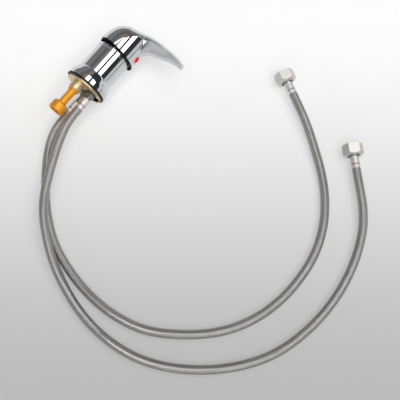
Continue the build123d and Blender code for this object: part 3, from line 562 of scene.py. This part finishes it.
def braid_wire():
    """Fine round wires side by side along each carrier, under a thin film of clear lacquer, with
    painted shade in the gaps between the wires.
    """
    shader = Shader("braid_wire")
    across = shader.axes(shader.add("ShaderNodeUVMap").outputs["UV"])["X"]
    phase = shader.math("MULTIPLY", across, WIRES_PER_CARRIER * math.pi)
    wires = shader.math("ABSOLUTE", shader.math("SINE", phase))
    tarnish = shader.noise(shader.place(), scale=300.0, detail=3.0)
    # painted shade in the gaps between wires, with random tarnish
    gap_shade_and_tarnish = shader.math("MULTIPLY", wires, shader.spread(tarnish, *WIRE_TARNISH))
    shader.set(
        Base_Color=shader.mix(gap_shade_and_tarnish, *WIRE_AND_GAP_SHADE_TONE),
        Metallic=1.0,
        Roughness=shader.spread(tarnish, *WIRE_ROUGH),
        Normal=shader.bump(wires, distance=0.14 * MM, strength=0.8),
        Coat_Weight=1.0,
        Coat_Roughness=0.05,
        Coat_IOR=1.8,
        Coat_Normal=shader.add("ShaderNodeAttribute", attribute_name=OUTWARD).outputs["Vector"],
    )
    return shader.material


def table_surface():
    """A pale sweep of paper that darkens softly towards the viewer."""
    shader = Shader("table_surface")
    place = shader.place()
    run = shader.run_along(place, FADE_MIDDLE, FADE_TOWARDS)
    fade = shader.ease(run, -FADE_HALF, FADE_HALF)
    paper = shader.noise(place, scale=400.0, detail=2.0)
    colour = shader.mix(fade, (TABLE_DARK,) * 3, (TABLE_BRIGHT,) * 3)
    shader.set(
        Base_Color=colour,
        Roughness=0.9,
        Specular_IOR_Level=0.1,
        Normal=shader.bump(paper, distance=0.01 * MM, strength=0.3),
    )
    glow = shader.add("ShaderNodeEmission")
    shader.link(colour, glow.inputs["Color"])
    glow.inputs["Strength"].default_value = 1.0
    rays = shader.add("ShaderNodeLightPath").outputs
    seen = shader.math("MAXIMUM", rays["Is Camera Ray"], rays["Is Glossy Ray"])
    seen = shader.math("MAXIMUM", seen, rays["Is Transmission Ray"])
    share = shader.math("MULTIPLY", seen, TABLE_GLOW)
    lit = shader.blend(share, shader.surface.outputs["BSDF"], glow.outputs["Emission"])
    shader.link(lit, shader.output.inputs["Surface"])
    return shader.material


def dress(material, *names):
    """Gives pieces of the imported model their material."""
    for name in names:
        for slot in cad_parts[name].material_slots:
            slot.material = material


def put_in(name, data):
    """A new object in the scene, for a camera, mesh or curve."""
    thing = bpy.data.objects.new(name, data)
    bpy.context.collection.objects.link(thing)
    return thing


# Camera, table and light

def make_camera():
    data = bpy.data.cameras.new("camera")
    data.lens = LENS
    data.sensor_width = SENSOR
    data.clip_start = NEAREST
    data.clip_end = FURTHEST
    camera = put_in("camera", data)
    camera.location = CAMERA_AT
    camera.rotation_mode = "QUATERNION"
    camera.rotation_quaternion = (CAMERA_LOOKS_AT - CAMERA_AT).to_track_quat("-Z", "Y")
    bpy.context.scene.camera = camera


def make_table():
    turns = [math.tau * i / TABLE_SIDES for i in range(TABLE_SIDES)]
    mesh = bpy.data.meshes.new("table")
    rim = [(math.cos(a) * TABLE_RADIUS, math.sin(a) * TABLE_RADIUS, TABLE_Z) for a in turns]
    mesh.from_pydata(rim, [], [list(range(len(rim)))])
    mesh.materials.append(table_surface())
    put_in("table", mesh)


def make_world():
    """A studio room with two soft boxes overhead and a pale wall beyond the lever."""
    world = bpy.data.worlds.new("studio")
    world.use_nodes = True
    bpy.context.scene.world = world
    sky = SkyShader(world)
    way = sky.axes(sky.add("ShaderNodeTexCoord").outputs["Generated"])
    height = way["Z"]
    up = sky.math("MAXIMUM", height, LEAST_HEIGHT)
    along = sky.math("DIVIDE", way["X"], up)
    across = sky.math("DIVIDE", way["Y"], up)
    far = sky.mix(sky.ease(across, *FAR_LOW_SPAN), FAR_TOP, FAR_LOW)
    far = sky.mix(sky.ease(across, *FAR_NEAR_SPAN), FAR_NEAR, far)
    room = sky.mix(sky.ease(across, *OVERHEAD_SPAN), ROOM_DARK, far)
    wall = sky.mix(sky.ease(height, *WALL_HEIGHTS), WALL_LOW, WALL_TOP)
    lever_side = sky.ease(across, *LEVER_WALL_SPAN)
    base_side = sky.ease(along, *BASE_WALL_SPAN)
    low = sky.math("MAXIMUM", lever_side, base_side)
    light = sky.mix(low, room, wall)
    for middle, half, long_middle, long_half, shine in SOFT_BOXES:
        wide = sky.soft_edge(across, middle, half, BOX_EDGE)
        long = sky.soft_edge(along, long_middle, long_half, BOX_EDGE)
        light = sky.mix(sky.math("MULTIPLY", wide, long), light, (shine,) * 3)
    sky.link(light, sky.surface.inputs["Color"])
    sky.surface.inputs["Strength"].default_value = 1.0


# Hoses

def ahead(heading):
    angle = math.radians(heading)
    return Vector((math.cos(angle), math.sin(angle), 0.0))


def nut_place(nut):
    """The middle of a union nut."""
    return Vector((*nut, NUT_HEIGHT)) * MM


def hose_route(start, corners, nut, heading):
    """The route's points: out of the ferrule at the mixer and into the one behind the nut."""
    middle = [Vector((x * MM, y * MM, TABLE_Z + h * MM)) for x, y, h in corners]
    end = nut_place(nut) - ahead(heading) * (UNION_NECK + FERRULE_LENGTH)
    first = start - X_AXIS * LEAD
    return [start, first, *middle, end - ahead(heading) * UNION_LEAD, end]


def smooth_curve(name, points, radius):
    """One open NURBS spline through the route's control points."""
    data = bpy.data.curves.new(name, "CURVE")
    data.dimensions = "3D"
    data.resolution_u = STEPS_ALONG
    data.bevel_depth = radius
    data.bevel_resolution = BEVEL_STEPS
    data.use_fill_caps = True
    spline = data.splines.new("NURBS")
    spline.points.add(len(points) - 1)
    for point, place in zip(spline.points, points):
        point.co = (*place, 1.0)
    spline.order_u = 3
    spline.use_endpoint_u = True
    return put_in(name, data)


def line_of(curve):
    """Points along the curve's own line, as Blender draws it without its bevel."""
    data = curve.data
    depth, caps = data.bevel_depth, data.use_fill_caps
    data.bevel_depth, data.use_fill_caps = 0.0, False
    graph = bpy.context.evaluated_depsgraph_get()
    graph.update()
    mesh = bpy.data.meshes.new_from_object(curve.evaluated_get(graph))
    points = [vertex.co.copy() for vertex in mesh.vertices]
    bpy.data.meshes.remove(mesh)
    data.bevel_depth, data.use_fill_caps = depth, caps
    return points


class Line:
    """A polyline with a place and an untwisted frame at any distance along it."""

    def __init__(self, points):
        self.points = points
        self.ahead = [(b - a).normalized() for a, b in zip(points, points[1:])]
        self.ahead.append(self.ahead[-1])
        self.at = [0.0]
        for a, b in zip(points, points[1:]):
            self.at.append(self.at[-1] + (b - a).length)
        side = self.ahead[0].cross(Vector((0.0, 0.0, 1.0))).normalized()
        self.side = []
        for way in self.ahead:
            side = (side - way * side.dot(way)).normalized()
            self.side.append(side)
        self.length = self.at[-1]
        self.step = 0

    def frame(self, distance):
        """Place, side and up at a distance; distances are asked for in rising order."""
        if distance < self.at[self.step]:
            self.step = 0
        while self.step < len(self.points) - 2 and distance > self.at[self.step + 1]:
            self.step += 1
        i = self.step
        share = (distance - self.at[i]) / (self.at[i + 1] - self.at[i])
        place = self.points[i].lerp(self.points[i + 1], share)
        way = self.ahead[i].lerp(self.ahead[i + 1], share).normalized()
        side = self.side[i].lerp(self.side[i + 1], share)
        side = (side - way * side.dot(way)).normalized()
        return place, side, side.cross(way)


def wind_carrier(frames, turns, sense, carrier):
    """The points of one carrier, three across at each step, and the way out at each of them."""
    lean = math.atan2(math.tau * BRAID_RADIUS, BRAID_PITCH)
    half_angle = CARRIER_WIDTH / 2 / math.cos(lean) / BRAID_RADIUS
    steps = len(frames) - 1
    points, outward = [], []
    for i, (place, side, up) in enumerate(frames):
        turn = sense * math.tau * turns * i / steps
        angle = turn + math.tau * carrier / CARRIERS
        # whole at each crossing, where the wave is the same for both carriers
        crossing = angle / math.tau * 2 * CARRIERS
        wave = math.cos(math.tau * (crossing - 0.5) / WEAVE_REPEAT)
        lift = sense * BRAID_LIFT * wave
        for edge in (-1, 0, 1):
            around = angle + edge * half_angle
            radius = BRAID_RADIUS + lift + (BRAID_CROWN if edge == 0 else 0.0)
            away = side * math.cos(around) + up * math.sin(around)
            points.append(place + away * radius)
            outward.append(away)
    return points, outward


def braid_mesh(name, curve, material):
    """Flat carriers of wire, wound both ways and woven two over and two under."""
    line = Line(line_of(curve))
    turns = line.length / BRAID_PITCH
    steps = int(turns * 2 * CARRIERS * STEPS_PER_CROSSING)
    frames = [line.frame(line.length * i / steps) for i in range(steps + 1)]
    vertices, outward, faces = [], [], []
    for sense in (1, -1):
        for carrier in range(CARRIERS):
            base = len(vertices)
            points, ways = wind_carrier(frames, turns, sense, carrier)
            vertices += points
            outward += ways
            for i in range(steps):
                for corner in (base + 3 * i, base + 3 * i + 1):
                    faces.append((corner, corner + 1, corner + 4, corner + 3))
    mesh = bpy.data.meshes.new(name)
    mesh.from_pydata(vertices, [], faces)
    uv = mesh.uv_layers.new(name="along")
    for loop in mesh.loops:
        row, edge = divmod(loop.vertex_index, 3)
        uv.data[loop.index].uv = (edge / 2, row % (steps + 1) / steps)
    record = mesh.attributes.new(OUTWARD, "FLOAT_VECTOR", "POINT")
    record.data.foreach_set("vector", [value for away in outward for value in away])
    mesh.shade_smooth()
    mesh.materials.append(material)
    return put_in(name, mesh)


def dress_fittings(side, points, nut, heading):
    """The ferrules and the union nut, whose painted shade lies along their own axes."""
    far = ahead(heading)
    finishes = {
        "mixer_ferrule": (groove_shade_of(points[0], X_AXIS), PRESSED_ROUGH, PRESSED_TONE),
        "union_ferrule": (groove_shade_of(points[-1], far), PRESSED_ROUGH, PRESSED_TONE),
        "union_nut": (hole_shade(nut_place(nut), far), NICKEL_ROUGH, NICKEL_TONE),
    }
    for end, finish in finishes.items():
        name = f"{side}_{end}"
        dress(satin_nickel(name, *finish), name)


def make_hose(side, start, corners, nut, heading, rubber, wire):
    points = hose_route(start, corners, nut, heading)
    liner = smooth_curve(f"{side}_hose_liner", points, LINER_RADIUS)
    liner.data.materials.append(rubber)
    braid = braid_mesh(f"{side}_hose_braid", liner, wire)
    for piece in (liner, braid):
        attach(piece, "mixer_body")
    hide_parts(f"{side}_hose")
    dress_fittings(side, points, nut, heading)


# The mixer's own pieces

def dress_mixer(rubber):
    nickel = satin_nickel("satin_nickel")
    # the inlet tails carry painted shade in their thread roots and on their hexagons
    threaded = satin_nickel("threaded_nickel", inlet_thread)
    white = moulded("white_plastic", *WHITE_PLASTIC)
    black = moulded("black_plastic", *BLACK_PLASTIC)
    dress(plated_body(), "body_casting")
    dress(chrome(), "cover_ring")
    dress(lever_chrome(), "handle")
    dress(raw_brass(), "retaining_nut", "spindle")
    dress(orange_brass(), "outlet_tailpiece")
    dress(black, "handle_ring", "cartridge_foot", "disc_carrier")
    dress(white, "cartridge_housing", "spindle_guide")
    dress(ceramic(), "fixed_disc", "moving_disc")
    dress(turned_steel(), "grub_screw", "pivot_pin")
    dress(rubber, "base_seal", "cartridge_port_seals", "outlet_seal")
    for side in ("upper", "lower"):
        dress(threaded, f"{side}_inlet_tail")
        dress(nickel, f"{side}_union_tail")
        dress(rubber, f"{side}_inlet_seal", f"{side}_union_washer")


def make_index():
    """The round hot and cold mark in the neck of the lever: two halves of one low dome."""
    hot_low, hot_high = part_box("index_hot")
    centre = (hot_low[0] + hot_high[0]) / 2
    radius = (hot_high[0] - hot_low[0]) / 2
    red = moulded("red_plastic", *RED_PLASTIC)
    blue = moulded("blue_plastic", *BLUE_PLASTIC)
    for name, slot, material, side in (
        ("index_hot", "red_plastic", red, 1), ("index_cold", "blue_plastic", blue, -1),
    ):
        piece = index_half(f"{name}_dome", centre, radius, side, material)
        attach(piece, "lever")
        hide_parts(name)


def closed_dome(point):
    """A low dome, closed at its back; the function point places its points."""
    work = bmesh.new()
    gap_shade_and_tarnish = work.verts.new(point(0.0, 0.0, INDEX_RISE))
    turns = [math.tau * i / INDEX_SPOKES for i in range(INDEX_SPOKES)]
    last = None
    for step in range(1, INDEX_RINGS + 2):
        share = min(1.0, step / INDEX_RINGS)
        proud = INDEX_RISE * (1 - share ** INDEX_CROWN)
        if step > INDEX_RINGS:
            proud = -INDEX_ROOT
        row = [work.verts.new(point(share, turn, proud)) for turn in turns]
        for i in range(INDEX_SPOKES):
            following = (i + 1) % INDEX_SPOKES
            if last is None:
                work.faces.new((gap_shade_and_tarnish, row[i], row[following]))
            else:
                work.faces.new((last[i], row[i], row[following], last[following]))
        last = row
    work.faces.new(list(reversed(last)))
    return work


def index_half(name, centre, radius, side, material):
    """One half of the dome, cut off where the two colours meet."""
    def point(share, turn, proud):
        x = share * radius * math.cos(turn)
        z = share * radius * math.sin(turn)
        front = NECK_AXIS - math.sqrt(NECK_RADIUS ** 2 - z ** 2)
        return (centre + x, front - proud, z)

    work = closed_dome(point)
    cut = bmesh.ops.bisect_plane(
        work, geom=work.verts[:] + work.edges[:] + work.faces[:],
        plane_co=(0.0, 0.0, INDEX_SPLIT + side * INDEX_GAP / 2), plane_no=(0.0, 0.0, -side),
        clear_outer=True,
    )
    rim = [piece for piece in cut["geom_cut"] if isinstance(piece, bmesh.types.BMEdge)]
    bmesh.ops.contextual_create(work, geom=rim)
    bmesh.ops.recalc_face_normals(work, faces=work.faces[:])
    mesh = bpy.data.meshes.new(name)
    work.to_mesh(mesh)
    work.free()
    mesh.shade_smooth()
    mesh.set_sharp_from_angle(angle=math.radians(INDEX_SHARP))
    mesh.materials.append(material)
    return put_in(name, mesh)


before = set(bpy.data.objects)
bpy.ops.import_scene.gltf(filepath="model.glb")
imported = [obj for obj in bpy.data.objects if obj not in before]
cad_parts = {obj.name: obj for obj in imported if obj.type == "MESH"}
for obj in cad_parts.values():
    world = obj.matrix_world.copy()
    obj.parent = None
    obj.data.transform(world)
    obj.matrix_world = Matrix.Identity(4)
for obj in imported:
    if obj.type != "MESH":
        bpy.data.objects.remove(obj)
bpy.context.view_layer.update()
bpy.context.scene.view_settings.view_transform = "Standard"
make_camera()
rubber = moulded("black_rubber", *BLACK_RUBBER)
wire = braid_wire()
make_hose(
    "upper", UPPER_START, UPPER_CORNERS, UPPER_NUT, UPPER_HEADING, rubber, wire
)
make_hose(
    "lower", LOWER_START, LOWER_CORNERS, LOWER_NUT, LOWER_HEADING, rubber, wire
)
dress_mixer(rubber)
make_index()
make_table()
make_world()
